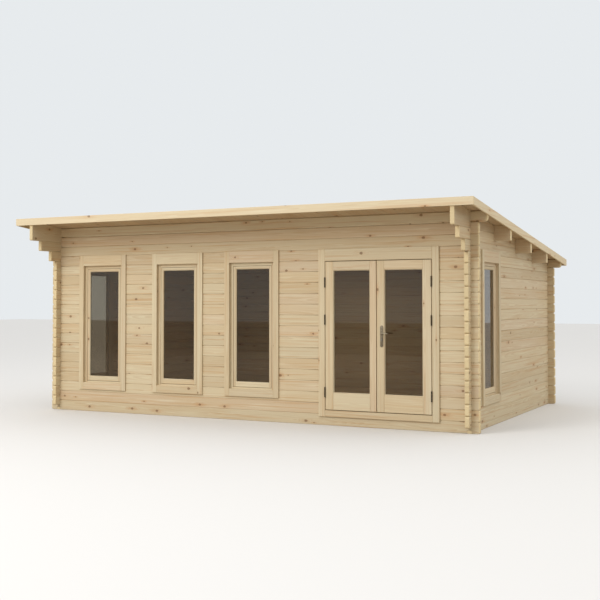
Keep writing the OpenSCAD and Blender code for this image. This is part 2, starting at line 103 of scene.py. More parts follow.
ROOF_LOW, ROOF_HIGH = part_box("roof_boards")
BARGE_LOW, BARGE_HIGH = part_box("right_bargeboard")
FASCIA_LOW, FASCIA_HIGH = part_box("front_fascia")
BOARD_T = FASCIA_HIGH.y - FASCIA_LOW.y
SLOPE = (((BARGE_HIGH.z - BARGE_LOW.z) - (FASCIA_HIGH.z - FASCIA_LOW.z))
         / ((BARGE_HIGH.y - BARGE_LOW.y) - BOARD_T))
EDGE_H = (FASCIA_HIGH.z - FASCIA_LOW.z) - SLOPE * BOARD_T
ROOF_RISE = ROOF_HIGH.z - ROOF_LOW.z - SLOPE * (ROOF_HIGH.y - ROOF_LOW.y)
# A height above everything
SKY = ROOF_HIGH.z + 1.0
# Gap left between pieces that lie against each other
SEAT = 0.0003


def under(y):
    """Height of the underside of the roof boards."""
    return ROOF_LOW.z + (ROOF_HIGH.y - y) * SLOPE


# ---- Shader helpers ----
class Tree:
    """Builds the nodes of a material or a world with short calls."""

    def __init__(self, owner, shader="Principled BSDF"):
        owner.use_nodes = True
        self.owner = owner
        self.nodes = owner.node_tree.nodes
        self.links = owner.node_tree.links
        self.shader = self.nodes[shader]

    def set(self, name, value):
        """Gives one of the shader's own inputs a value or a link."""
        self.put(self.shader.inputs[name], value)

    def put(self, socket, value):
        if isinstance(value, bpy.types.NodeSocket):
            self.links.new(value, socket)
        else:
            socket.default_value = value

    def node(self, kind, inputs=(), output=0, **settings):
        made = self.nodes.new(kind)
        for key, value in settings.items():
            setattr(made, key, value)
        for key, value in dict(inputs).items():
            self.put(made.inputs[key], value)
        return made.outputs[output]

    def split(self, vector):
        """The three parts of a vector or colour."""
        made = self.nodes.new("ShaderNodeSeparateXYZ")
        self.links.new(vector, made.inputs[0])
        return made.outputs[0], made.outputs[1], made.outputs[2]

    def math(self, operation, *values):
        made = self.nodes.new("ShaderNodeMath")
        made.operation = operation
        for socket, value in zip(made.inputs, values):
            self.put(socket, value)
        return made.outputs[0]

    def add(self, a, b):
        return self.math("ADD", a, b)

    def times(self, a, b):
        return self.math("MULTIPLY", a, b)

    def vector(self, x, y, z):
        return self.node("ShaderNodeCombineXYZ", {"X": x, "Y": y, "Z": z})

    def noise(self, vector, scale=1.0, detail=2.0, roughness=0.5):
        return self.node(
            "ShaderNodeTexNoise",
            {"Vector": vector, "Scale": scale, "Detail": detail, "Roughness": roughness},
        )

    def span(self, value, low, high, to_low=0.0, to_high=1.0, shape="SMOOTHSTEP"):
        """Turns low to high into to_low to to_high, and holds it there beyond them."""
        return self.node(
            "ShaderNodeMapRange",
            {"Value": value, "From Min": low, "From Max": high,
             "To Min": to_low, "To Max": to_high},
            interpolation_type=shape,
        )

    def mix(self, factor, a, b, blend="MIX"):
        made = self.nodes.new("ShaderNodeMix")
        made.data_type = "RGBA"
        made.blend_type = blend
        self.put(made.inputs[0], factor)
        self.put(made.inputs[6], a)
        self.put(made.inputs[7], b)
        return made.outputs[2]

    def grey(self, value):
        return self.node("ShaderNodeCombineColor", {0: value, 1: value, 2: value})

    def shaded(self, colour, shade):
        """A colour made darker or lighter by a factor."""
        return self.mix(1.0, colour, self.grey(shade), "MULTIPLY")

    def bump(self, height, distance, strength):
        return self.node(
            "ShaderNodeBump", {"Height": height, "Distance": distance, "Strength": strength}
        )


def material(name):
    return Tree(bpy.data.materials.new(name))


def rgb(red, green, blue):
    """A colour from 0-255 display values, as the linear colour a shader takes."""
    def linear(value):
        value /= 255
        return value / 12.92 if value <= 0.04045 else ((value + 0.055) / 1.055) ** 2.4
    return (linear(red), linear(green), linear(blue), 1.0)


# ---- Timber: meshes of many lengths, each with its own grain ----
def inset(radius, distance):
    """How far an end rounded to a radius falls back at a distance from its end."""
    if radius <= 0 or distance >= radius:
        return 0.0
    return radius - math.sqrt(radius * radius - (radius - distance) ** 2)


def rounded(c0, c1, t0, t1, radius, steps):
    """A rectangle with rounded corners: its points, and for each whether an arc goes on from it."""
    r = min(radius, 0.49 * (c1 - c0), 0.49 * (t1 - t0))
    points, arcs = [], []
    centres = [(c1 - r, t1 - r, 0), (c0 + r, t1 - r, 1), (c0 + r, t0 + r, 2), (c1 - r, t0 + r, 3)]
    for c, t, quarter in centres:
        for i in range(steps + 1):
            angle = (quarter + i / steps) * math.pi / 2
            points.append((c + r * math.cos(angle), t + r * math.sin(angle)))
            arcs.append(i < steps)
    return points, arcs


class Timber:
    """Gathers lengths of timber into one mesh. Each has a tint and a grain of its own: where its points
    lie along it and how far they are from the heart of its trunk."""

    HEART = 0.09
    # The part of a rounded end that shows as cut wood
    CUT_SHARE = 0.7
    # Sections less far apart than this meet in a step across the length
    FLAT = 1e-7

    def __init__(self, seed):
        self.random = random.Random(seed)
        self.points, self.faces, self.smooth = [], [], []
        self.grain, self.tint, self.cut = [], [], []

    def loft(self, sections, axes, arcs=None, sides=None):
        """A closed length through sections, lists of as many points each. axes: along, across, through.
        arcs: the edges of a section that are drawn smooth. sides: from where to where along the length
        its faces aren't cut ends."""
        along, across, through = axes
        rnd = self.random
        flat = [p for section in sections for p in section]
        middle = [(min(p[a] for p in flat) + max(p[a] for p in flat)) / 2 for a in range(3)]
        heart_c = middle[across] + rnd.uniform(-0.6, 0.6) * self.HEART
        heart_t = middle[through] + rnd.choice((-1, 1)) * rnd.uniform(0.35, 1.2) * self.HEART
        lean_c, lean_t = rnd.uniform(-0.012, 0.012), rnd.uniform(-0.008, 0.008)
        shift = rnd.uniform(0, 40)
        tint = (rnd.random(), rnd.random(), rnd.random())
        own = {}

        def vertex(p):
            # Points within a micrometre of each other are one
            key = tuple(round(c * 1e6) for c in p)
            if key not in own:
                own[key] = len(self.points)
                self.points.append(tuple(p))
                a = p[along] - middle[along]
                self.grain.append((a + shift, p[across] - heart_c + lean_c * a,
                                   p[through] - heart_t + lean_t * a))
            return own[key]

        def face(corners, smooth, cut):
            ids = []
            for i in map(vertex, corners):
                if i not in ids:
                    ids.append(i)
            if len(ids) > 2:
                self.faces.append(ids)
                self.smooth.append(smooth)
                self.tint.append(tint)
                self.cut.append(cut)

        n = len(sections[0])
        last = len(sections) - 1
        for s in range(last):
            reach = [sections[i][0][along] for i in (s, s + 1)]
            cut = 1.0 if sides and (max(reach) < sides[0] or min(reach) > sides[1]) else 0.0
            for k in range(n):
                m = (k + 1) % n
                corners = (sections[s][k], sections[s][m], sections[s + 1][m], sections[s + 1][k])
                places = [corner[along] for corner in corners]
                step = max(places) - min(places) < self.FLAT
                face(corners, bool(arcs and arcs[k]) and not step, 1.0 if step else cut)
        face(sections[0], False, 1.0)
        face(sections[-1], False, 1.0)

    def length(self, axes, stations, radius, ends=((0, 0), (0, 0)), steps=3, shear=0.0):
        """A length through stations (along, across low, high, through low, high), its edges rounded.
        ends: the radii of its low and high corner, at its start and its end. shear tilts the high side."""
        along, across, through = axes
        a0, a1 = stations[0][0], stations[-1][0]
        places = {s[0] for s in stations}
        for end, (low_r, high_r) in zip((a0, a1), ends):
            away = 1 if end == a0 else -1
            for r in {low_r, high_r, min(radius, max(low_r, high_r))}:
                for i in range(1, steps + 1):
                    if r > 0:
                        places.add(end + away * r * (1 - math.cos(i / steps * math.pi / 2)))
        full = []
        for a in sorted(places):
            same = [s for s in stations if abs(s[0] - a) < 1e-9]
            if same:
                full += same
                continue
            before = [s for s in stations if s[0] < a][-1]
            after = [s for s in stations if s[0] > a][0]
            f = (a - before[0]) / (after[0] - before[0])
            full.append((a,) + tuple(p + f * (q - p) for p, q in zip(before[1:], after[1:])))
        sections = []
        arcs = None
        for a, c0, c1, t0, t1 in full:
            low = inset(ends[0][0], a - a0) + inset(ends[1][0], a1 - a)
            high = inset(ends[0][1], a - a0) + inset(ends[1][1], a1 - a)
            side = (inset(min(radius, max(ends[0])), a - a0)
                    + inset(min(radius, max(ends[1])), a1 - a))
            low, high = min(low, 0.45 * (c1 - c0)), min(high, 0.45 * (c1 - c0))
            points, arcs = rounded(c0 + low, c1 - high, t0 + side, t1 - side, radius, steps)
            section = []
            for c, t in points:
                p = [0.0, 0.0, 0.0]
                p[along], p[through] = a, t
                p[across] = c + shear * (t - t0) * (c - c0) / (c1 - c0)
                section.append(p)
            sections.append(section)
        slack = 1e-5
        sides = (a0 + max(ends[0]) * self.CUT_SHARE + slack, a1 - max(ends[1]) * self.CUT_SHARE - slack)
        self.loft(sections, axes, arcs, sides)

    def board(self, along, low, high, radius=0.003, steps=2):
        """A straight board between two corners, all its edges rounded."""
        others = sorted((a for a in range(3) if a != along), key=lambda a: low[a] - high[a])
        axes = (along, others[0], others[1])
        stations = [(end[along], low[axes[1]], high[axes[1]], low[axes[2]], high[axes[2]])
                    for end in (low, high)]
        small = min(high[a] - low[a] for a in range(3))
        r = min(radius, 0.4 * small)
        self.length(axes, stations, r, ((r, r), (r, r)), steps)

    def build(self, name, material, slot, body, *replaced):
        mesh = mesh_object(name, self.points, self.faces, self.smooth, material, slot, body, *replaced)
        for key, kind, domain, values in (("grain", "FLOAT_VECTOR", "POINT", self.grain),
                                          ("tint", "FLOAT_VECTOR", "FACE", self.tint)):
            layer = mesh.attributes.new(key, kind, domain)
            layer.data.foreach_set("vector", [c for value in values for c in value])
        layer = mesh.attributes.new("cut", "FLOAT", "FACE")
        layer.data.foreach_set("value", self.cut)


def mesh_object(name, points, faces, smooth, material, slot, body, *replaced):
    """Makes a piece of the object, facing outwards and riding on a body, and returns its mesh."""
    mesh = bpy.data.meshes.new(name)
    mesh.from_pydata(points, [], faces)
    mesh.polygons.foreach_set("use_smooth", smooth)
    bm = bmesh.new()
    bm.from_mesh(mesh)
    bmesh.ops.recalc_face_normals(bm, faces=bm.faces)
    bm.to_mesh(mesh)
    bm.free()
    mesh.materials.append(material)
    made = bpy.data.objects.new(name, mesh)
    bpy.context.scene.collection.objects.link(made)
    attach(made, body)
    if replaced:
        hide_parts(*replaced)
    return mesh


class Skin:
    """Gathers closed shapes into one smooth mesh."""

    def __init__(self):
        self.points, self.faces = [], []

    def band(self, first, around):
        """Faces between the ring of points that starts at first and the next ring."""
        for k in range(around):
            m = (k + 1) % around
            self.faces.append((first + k, first + m, first + around + m, first + around + k))

    def loops(self, rings):
        """A closed skin through rings of as many points each, with flat ends."""
        first, around = len(self.points), len(rings[0])
        for ring in rings:
            self.points.extend(tuple(p) for p in ring)
        last = len(self.points) - around
        for start in range(first, last, around):
            self.band(start, around)
        self.faces.append(tuple(range(first, first + around)))
        self.faces.append(tuple(range(last, last + around)))

    def dome(self, centre, axis, way, radius, rise, around=16):
        """A shallow dome standing on centre, along axis towards way."""
        a, b = [other for other in range(3) if other != axis]
        steps = 3
        first = len(self.points)
        for i in range(steps):
            angle = i / steps * math.pi / 2
            for k in range(around):
                turn = 2 * math.pi * k / around
                p = list(centre)
                p[a] += radius * math.cos(angle) * math.cos(turn)
                p[b] += radius * math.cos(angle) * math.sin(turn)
                p[axis] += way * rise * math.sin(angle)
                self.points.append(tuple(p))
        tip = list(centre)
        tip[axis] += way * rise
        self.points.append(tuple(tip))
        last = first + (steps - 1) * around
        for start in range(first, last, around):
            self.band(start, around)
        self.faces += [(last + k, last + (k + 1) % around, last + around) for k in range(around)]
        self.faces.append(tuple(range(first, first + around)))

    def swept(self, path, sizes, around=20):
        """A bar along a path; sizes are its half-height and half-depth at each point."""
        rings = []
        for i, (p, (high, deep)) in enumerate(zip(path, sizes)):
            ahead = path[min(i + 1, len(path) - 1)] - path[max(i - 1, 0)]
            ahead.normalize()
            side = ahead.cross(Vector((0, 0, 1))).normalized()
            up = side.cross(ahead).normalized()
            turns = [2 * math.pi * k / around for k in range(around)]
            rings.append([p + up * (high * math.sin(turn)) + side * (deep * math.cos(turn))
                          for turn in turns])
        self.loops(rings)

    def build(self, name, material, slot, body, *replaced):
        smooth = [True] * len(self.faces)
        mesh_object(name, self.points, self.faces, smooth, material, slot, body, *replaced)


# ---- Materials ----
CREAM = rgb(216, 203, 171)
SAP = rgb(222, 211, 182)
HONEY = rgb(208, 186, 148)
PINK = rgb(211, 187, 160)
AMBER = rgb(198, 160, 116)
RING = rgb(187, 156, 115)
KNOT = rgb(122, 86, 54)
KNOT_RIM = rgb(88, 60, 38)
HALO = rgb(192, 146, 100)
CUT = rgb(234, 216, 170)


def attribute(t, name, output="Vector"):
    return t.node("ShaderNodeAttribute", output=output, attribute_name=name)


def pine(name, tone=1.0, knots=0.3, warm=0.5, contrast=1.0, rough=0.6, red=0.0):
    """Planed pine. Its rings lie round the heart of each length's trunk, so they fit on all its faces.
    knots: the share of places for a branch that have one. red: how reddened the wood is."""
    t = material(name)
    along, across, through = t.split(attribute(t, "grain"))
    chance_a, chance_b, chance_c = t.split(attribute(t, "tint"))
    end = attribute(t, "cut", "Fac")

    def stuff(a, c, detail=2.0, roughness=0.5):
        """Noise drawn out along the grain: a and c are how often a metre it turns along and across."""
        place = t.vector(t.times(along, a), t.times(across, c), t.times(through, c))
        return t.noise(place, 1.0, detail, roughness)

    # Branches: one cell each along the length and across it, running straight through
    cell_a, cell_c, shuffle = 0.36, 0.115, 77.0
    place = t.vector(t.times(along, 1 / cell_a),
                     t.add(t.times(across, 1 / cell_c), t.times(chance_b, shuffle)), 0.0)
    voronoi = t.nodes.new("ShaderNodeTexVoronoi")
    voronoi.voronoi_dimensions = "2D"
    t.put(voronoi.inputs["Randomness"], 0.85)
    t.put(voronoi.inputs["Scale"], 1.0)
    t.links.new(place, voronoi.inputs["Vector"])
    off_a, off_c, _ = t.split(t.node(
        "ShaderNodeVectorMath", {0: place, 1: voronoi.outputs["Position"]}, operation="SUBTRACT"))
    luck_a, luck_b, luck_c = t.split(voronoi.outputs["Color"])
    ragged = t.times(t.math("SUBTRACT", stuff(80.0, 90.0), 0.5), 0.9)
    uneven = t.times(t.math("SUBTRACT", stuff(14.0, 60.0), 0.5), 2.4)
    off_a, off_c = t.times(off_a, cell_a), t.times(off_c, cell_c)
    size = t.span(luck_a, 0.0, 1.0, 0.0055, 0.0135)

    def around(stretch):
        """How many knot sizes away a branch's middle is, its shape drawn out along the grain."""
        a = t.times(off_a, stretch)
        return t.math("DIVIDE", t.math("SQRT", t.add(t.times(a, a), t.times(off_c, off_c))), size)

    ratio = t.add(around(0.75), ragged)
    there = t.math("LESS_THAN", luck_b, knots)
    knot = t.times(t.span(ratio, 1.15, 0.7), there)
    rim = t.times(t.times(t.span(ratio, 1.35, 1.05), t.span(ratio, 0.7, 1.0)), there)
    halo = t.times(t.span(t.add(around(0.26), uneven), 3.0, 0.5), there)

    # Year rings, bent by the trunk's slow turns and by the branches
    warp = t.math("SUBTRACT", stuff(0.7, 5.0), 0.5)
    wave = t.math("SUBTRACT", stuff(3.0, 22.0), 0.5)
    reach = t.math("SQRT", t.add(t.times(across, across), t.times(through, through)))
    width = t.span(chance_c, 0.0, 1.0, 0.0038, 0.0075)
    phase = t.add(reach, t.add(t.times(warp, 0.05), t.times(wave, 0.004)))
    phase = t.math("FRACT", t.math("DIVIDE", t.add(phase, t.times(halo, 0.008)), width))
    ring = t.times(t.span(phase, 0.15, 0.88), t.span(phase, 1.0, 0.9))
    fibre = stuff(7.0, 520.0, 3.0, 0.65)

    # Colour: each length's own, its zones and streaks, then rings, branches and cut ends
    base = t.mix(t.span(chance_a, 0.2, 1.0, 0.0, 0.6), CREAM, HONEY)
    base = t.mix(t.span(chance_b, 0.6, 1.0, 0.0, 0.45), base, PINK)
    base = t.mix(t.span(stuff(0.8, 6.0), 0.42, 0.68, 0.0, warm), base, HONEY)
    base = t.mix(t.span(stuff(1.1, 26.0, 3.0, 0.6), 0.52, 0.72, 0.0, 0.6), base, SAP)
    band = stuff(0.7, 48.0, 3.0, 0.55)
    base = t.mix(t.span(band, 0.52, 0.68, 0.0, 0.55 * contrast), base, AMBER)
    base = t.mix(t.span(band, 0.42, 0.26, 0.0, 0.5), base, SAP)
    if red:
        base = t.mix(red, base, AMBER)
    base = t.mix(t.times(ring, 0.3 * contrast), base, RING)
    base = t.mix(t.span(fibre, 0.5, 0.8, 0.0, 0.2 * contrast), base, RING)
    base = t.mix(t.times(halo, t.span(luck_c, 0.1, 0.9, 0.15, 0.6)), base, HALO)
    base = t.mix(t.times(knot, 0.72), base, KNOT)
    base = t.mix(t.times(rim, 0.5), base, KNOT_RIM)
    base = t.mix(t.times(end, 0.8), base, t.mix(t.times(ring, 0.45), CUT, RING))
    shade = t.span(chance_c, 0.0, 1.0, 0.96 * tone, 1.04 * tone)
    t.set("Base Color", t.shaded(base, shade))
    t.set("Roughness", t.span(fibre, 0.2, 0.8, rough - 0.08, rough + 0.1))
    t.set("Specular IOR Level", 0.3)
    height = t.add(t.add(t.times(fibre, 0.5), t.times(ring, -0.4)), t.times(knot, -0.5))
    t.set("Normal", t.bump(height, 0.0005, 0.7))
    return t.owner


def metal(name, light, dark, roughness, metallic):
    """Metal with faint brushing and duller patches."""
    t = material(name)
    x, y, z = t.split(t.node("ShaderNodeTexCoord", output="Object"))
    fine, long, coarse = 900.0, 60.0, 45.0
    brushed = t.noise(t.vector(t.times(x, fine), t.times(y, fine), t.times(z, long)))
    patch = t.noise(t.vector(t.times(x, coarse), t.times(y, coarse), t.times(z, coarse)), detail=3.0)
    mixed = t.add(t.times(brushed, 0.35), t.times(patch, 0.65))
    t.set("Base Color", t.mix(t.span(mixed, 0.35, 0.65), light, dark))
    t.set("Roughness", t.span(mixed, 0.3, 0.7, roughness - 0.08, roughness + 0.12))
    t.set("Metallic", metallic)
    t.set("Normal", t.bump(brushed, 0.0001, 0.5))
    return t.owner


def felt():
    """Mineral roofing felt: slate-grey grit with paler and darker grains, each sheet in its own shade."""
    t = material("roof_felt")
    place = t.node("ShaderNodeTexCoord", output="Object")
    grit = t.noise(place, 700.0, 2.0, 0.7)
    sparkle = t.noise(place, 1500.0, 1.0)
    weather = t.noise(place, 1.6, 4.0, 0.6)
    base = t.mix(t.span(grit, 0.35, 0.65), rgb(66, 68, 70), rgb(112, 114, 114))
    base = t.mix(t.span(sparkle, 0.62, 0.75), base, rgb(150, 150, 146))
    base = t.mix(t.span(weather, 0.45, 0.7, 0.0, 0.35), base, rgb(84, 86, 82))
    chance, _, _ = t.split(attribute(t, "tint"))
    t.set("Base Color", t.shaded(base, t.span(chance, 0.0, 1.0, 0.86, 1.1)))
    t.set("Roughness", t.span(grit, 0.3, 0.7, 0.82, 0.96))
    t.set("Normal", t.bump(grit, 0.001, 0.8))
    return t.owner


def glass():
    """Glass with a faint haze in places. Its tint is partly its own, mostly painted shade dimming the room
    behind.
    """
    t = material("window_glass")
    # Painted shade: this dark tint stands in for the dimness of the room behind the panes.
    t.set("Base Color", (0.46, 0.43, 0.37, 1.0))
    t.set("IOR", 1.5)
    t.set("Transmission Weight", 1.0)
    t.set("Specular Tint", (1.0, 0.93, 0.84, 1.0))
    haze = t.noise(t.node("ShaderNodeTexCoord", output="Object"), 5.0, 3.0)
    t.set("Roughness", t.span(haze, 0.4, 0.8, 0.0, 0.03))
    return t.owner


LOGS = pine("log_pine", knots=0.25)
JOINERY = pine("joinery_pine", tone=1.01, knots=0.14, warm=0.3, contrast=0.8, rough=0.56)
EDGE = pine("edge_board_pine", tone=1.1, knots=0.2, warm=0.25, contrast=0.8)
ROOF = pine("roof_pine", tone=0.9, knots=0.3, warm=0.7, red=0.35)
FLOOR = pine("floor_pine", tone=0.98, knots=0.3, warm=0.5)
GLASS = glass()
# Dark steel of the hinges; the lock's keyhole pieces wear it too, as painted shade.
DARK_STEEL_AND_SHADE = metal("dark_steel", rgb(84, 72, 58), rgb(58, 48, 38), 0.48, 0.8)
METAL = metal("handle_metal", rgb(152, 140, 119), rgb(110, 99, 83), 0.34, 0.95)
# The lever wears a paler copy of the plates' metal: its paler colour is a painted highlight.
LEVER_PAINTED_HIGHLIGHT = metal("lever_metal_painted_highlight", rgb(170, 160, 139), rgb(124, 114, 97), 0.3, 0.85)
STEEL = metal("screw_steel", rgb(168, 164, 156), rgb(120, 116, 108), 0.38, 0.95)
FELT = felt()


# ---- Walls of logs ----
# Radii of the edges along a log, of its ends, of the edges along the logs under the eaves, and of the
# undersides of the stepped logs and of the top logs at their ends
LOG_R, LOG_END_R, EAVES_R, CORBEL_R, TOP_LOG_R = 0.006, 0.024, 0.014, 0.016, 0.04
# Radii of the low and the high corner at the end of a log, of one under the front eaves, of a top log,
# of a bottom log and where a log is cut
LOG_END, STEP_END, TOP_END = (LOG_END_R, LOG_END_R), (CORBEL_R, LOG_R), (TOP_LOG_R, CORBEL_R)
BOTTOM_END, CUT_END = (0.002, 0.002), (0, 0)
WINDOW_FRAME_W, WINDOW_SILL_H, SASH_GAP = 0.044, 0.024, 0.004


def log(timber, axes, span, z, face, holes, keep, ends, top=None, shear=0.0, radius=LOG_R):
    """One log of a wall whose lower face is at face. holes (from, to, low, high) break it, keep (the same)
    is what its notches leave of it, and top is the height of its upper side along it."""
    thin, tip, same = 0.014, 0.004, 1e-4
    marks = {span[0], span[1]}
    for a, b, _, _ in list(holes) + list(keep):
        marks |= {p for p in (a, b) if span[0] < p < span[1]}
    if top:
        for level in (z[1], z[0] + thin):
            a = span[0] + (top(span[0]) - level) / SLOPE
            if span[0] < a < span[1]:
                marks.add(a)
    marks = sorted(marks)
    pieces, stations = [], []
    for p, q in zip(marks, marks[1:]):
        middle = (p + q) / 2
        low, high = z
        for a, b, from_z, to_z in holes:
            if a < middle < b and from_z < high and to_z > low:
                if from_z > low + same:
                    high = from_z
                else:
                    low = to_z
        for a, b, from_z, to_z in keep:
            if a < middle < b:
                low, high = max(low, from_z), min(high, to_z)
        tops = [min(high, top(a)) if top else high for a in (p, q)]
        if max(tops) - low < thin + same:
            if stations:
                pieces.append(stations)
            stations = []
            continue
        stations += [(a, low, max(h, low + tip), face, face + WALL_T) for a, h in zip((p, q), tops)]
    if stations:
        pieces.append(stations)
    for stations in pieces:
        stations = [s for i, s in enumerate(stations) if i == 0 or s != stations[i - 1]]
        first = ends[0] if stations[0][0] == span[0] else CUT_END
        final = ends[1] if stations[-1][0] == span[1] else CUT_END
        timber.length(axes, stations, radius, (first, final), shear=shear)


def window_hole(sash, axis):
    """The hole in the wall round a window: from, to, low, high."""
    low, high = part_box(sash)
    return (low[axis] - SASH_GAP - WINDOW_FRAME_W, high[axis] + SASH_GAP + WINDOW_FRAME_W,
            low.z - SASH_GAP - WINDOW_SILL_H, high.z + SASH_GAP + WINDOW_FRAME_W)


DOOR_LOW, DOOR_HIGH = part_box("door_frame")
FRONT_HOLES = [window_hole(f"window_{i}_sash", X) for i in (1, 2, 3)]
DOOR_HOLE = (DOOR_LOW.x, DOOR_HIGH.x, DOOR_LOW.z, DOOR_HIGH.z)
PURLINS = solids("purlins")


def wall_along_x(seed, y, courses, holes):
    """The front or back wall, y its lower face. The top log runs out to the bargeboards."""
    timber = Timber(seed)
    corners = ((LEFT_X, LEFT_X + WALL_T), (RIGHT_X - WALL_T, RIGHT_X))
    axes = (X, Z, Y)
    for k in range(courses):
        z = (k * COURSE, (k + 1) * COURSE)
        keep = [(a, b, z[0] + COURSE / 4, z[1] - COURSE / 4) for a, b in corners]
        if k < courses - 1:
            log(timber, axes, (LEFT_X - STUB, RIGHT_X + STUB), z, y, holes, keep, (LOG_END, LOG_END))
        else:
            z = (z[0], min(z[1], under(y) - SEAT))
            log(timber, axes, (ROOF_LOW.x, ROOF_HIGH.x), z, y, holes, keep, (TOP_END, TOP_END),
                shear=-SLOPE, radius=EAVES_R)
    return timber


def wall_along_y(seed, x, sash):
    """A side wall, x its lower face, with its gable: stepped logs at the front and a deep one on top."""
    timber = Timber(seed)
    holes = [window_hole(sash, Y)] + [(low.y, high.y, low.z, SKY) for low, high in PURLINS]
    corners = ((FRONT_Y, FRONT_Y + WALL_T), (BACK_Y - WALL_T, BACK_Y))
    half = COURSE / 2
    # Each log: from and to in height, where its front end is and how that end is rounded
    rows = [((0.0, half), FRONT_Y, BOTTOM_END)]
    for k in range(round((GABLE_Z - half) / COURSE)):
        rows.append(((half + k * COURSE, half + (k + 1) * COURSE), FRONT_Y - STUB, LOG_END))
    rows.append(((GABLE_Z, GABLE_Z + COURSE), FRONT_Y - CORBEL_STEP, STEP_END))
    rows.append(((GABLE_Z + COURSE, GABLE_Z + 2 * COURSE), FRONT_Y - 2 * CORBEL_STEP, STEP_END))
    rows.append(((GABLE_Z + 2 * COURSE, SKY), FASCIA_HIGH.y + SEAT, STEP_END))
    for k, (z, front, front_end) in enumerate(rows):
        back, back_end = (BACK_Y + STUB, LOG_END) if k else (BACK_Y, BOTTOM_END)
        joint = math.floor(z[1] / COURSE) * COURSE
        keep = [(a, b, joint - COURSE / 4, joint + COURSE / 4) for a, b in corners]
        log(timber, (Y, Z, X), (front, back), z, x, holes, keep if k < len(rows) - 1 else [],
            (front_end, back_end), top=lambda y: under(y) - SEAT)
    return timber


wall_along_x(11, FRONT_Y, FRONT_COURSES, FRONT_HOLES + [DOOR_HOLE]).build(
    "front_logs", LOGS, "logs", "cabin",
    "front_wall_bottom", "front_wall_left", "front_wall_right", "front_wall_top")
wall_along_x(12, BACK_Y - WALL_T, BACK_COURSES, []).build(
    "back_logs", LOGS, "logs", "cabin", "back_wall")
wall_along_y(13, LEFT_X, "left_window_sash").build(
    "left_logs", LOGS, "logs", "cabin", "left_wall", "left_gable")
wall_along_y(14, RIGHT_X - WALL_T, "right_window_sash").build(
    "right_logs", LOGS, "logs", "cabin", "right_wall", "right_gable")


# ---- Roof ----
# Half the gap between two boards that lie side by side
HALF_JOINT = 0.0004


def sloped(timber, x0, x1, y0, y1, rise_low, rise_high, radius):
    """A board whose faces follow the roof, rise_low to rise_high above the boards' underside."""
    narrow = (x1 - x0) < (rise_high - rise_low)
    stations = []
    for y in (y0, y1):
        z = (under(y) + rise_low, under(y) + rise_high)
        stations.append((y,) + (z + (x0, x1) if narrow else (x0, x1) + z))
    axes = (Y, Z, X) if narrow else (Y, X, Z)
    ends = ((radius, radius), (radius, radius))
    timber.length(axes, stations, radius, ends, 2)


def roof_planks():
    count, radius = 54, 0.0035
    timber = Timber(21)
    width = (ROOF_HIGH.x - ROOF_LOW.x) / count
    for i in range(count):
        x = ROOF_LOW.x + i * width
        sloped(timber, x + HALF_JOINT, x + width - HALF_JOINT, ROOF_LOW.y, ROOF_HIGH.y,
               0.0, ROOF_RISE - SEAT, radius)
    timber.build("roof_planks", ROOF, "roof_timber", "cabin", "roof_boards")


def purlins():
    radius = 0.004
    timber = Timber(22)
    for low, high in PURLINS:
        stations = [(a, low.z, under(low.y) - SEAT, low.y, high.y) for a in (low.x, high.x)]
        timber.length((X, Z, Y), stations, radius, ((radius, radius), (radius, radius)), 2, -SLOPE)
    timber.build("roof_purlins", LOGS, "roof_timber", "cabin", "purlins")


def edge_boards():
    """The bargeboards and the fascias, all as high above the roof boards."""
    radius = 0.0025
    timber = Timber(23)
    top = FASCIA_HIGH.z - under(FASCIA_LOW.y)
    for node in ("left_bargeboard", "right_bargeboard"):
        low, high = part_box(node)
        sloped(timber, low.x, high.x, low.y + SEAT, high.y - SEAT, top - EDGE_H, top, radius)
    for node in ("front_fascia", "back_fascia"):
        low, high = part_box(node)
        stations = [(x, under(low.y) + top - EDGE_H, under(low.y) + top, low.y, high.y)
                    for x in (low.x, high.x)]
        timber.length((X, Z, Y), stations, radius, ((radius, radius), (radius, radius)), 2)
    timber.build("edge_boards", EDGE, "edge_boards", "cabin",
                 "front_fascia", "back_fascia", "left_bargeboard", "right_bargeboard")


def felt_sheets():
    """Sheets of felt from side to side, each lapped over the one below, with nails along the laps."""
    low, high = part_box("roof_felt")
    count, sheet_t, lap, rise, fall = 5, 0.0013, 0.08, 0.0002, 0.03
    margin, spaces, head_r, head_t = 0.05, 40, 0.0055, 0.0006
    step = (high.y - low.y - lap) / count
    covering, nails = Timber(24), Skin()
    for i in range(count):
        y1 = high.y - i * step
        y0 = y1 - step - lap
        lift = sheet_t + rise if i < count - 1 else 0.0
        stations = []
        for y, up in ((y0, lift), (y0 + lap, lift), (y0 + lap + fall, 0.0), (y1, 0.0)):
            z = under(y) + ROOF_RISE + up
            stations.append((y, low.x, high.x, z, z + sheet_t))
        covering.length((Y, X, Z), stations, 0.0, steps=1)
        y = y0 + fall
        z = under(y) + ROOF_RISE + lift + sheet_t - head_t / 2
        for k in range(spaces + 1):
            x = low.x + margin + k * (high.x - low.x - 2 * margin) / spaces
            nails.dome((x, y, z), Z, 1, head_r, 2 * head_t, 10)
    covering.build("felt_sheets", FELT, "roof_felt", "cabin", "roof_felt")
    nails.build("felt_nails", STEEL, "dark_steel", "cabin")


# ---- Floor ----
def floor():
    low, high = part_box("floor_boards")
    count = 32
    width = (high.y - low.y) / count
    planks = Timber(31)
    for i in range(count):
        y = low.y + i * width
        planks.board(X, (low.x, y + HALF_JOINT, low.z), (high.x, y + width - HALF_JOINT, high.z), 0.002)
    planks.build("floor_planks", FLOOR, "floor_timber", "cabin", "floor_boards")
    joists = Timber(32)
    for low, high in solids("floor_joists"):
        joists.board(Y, low, (high.x, high.y, high.z - SEAT), 0.003)
    joists.build("joists", ROOF, "floor_timber", "cabin", "floor_joists")


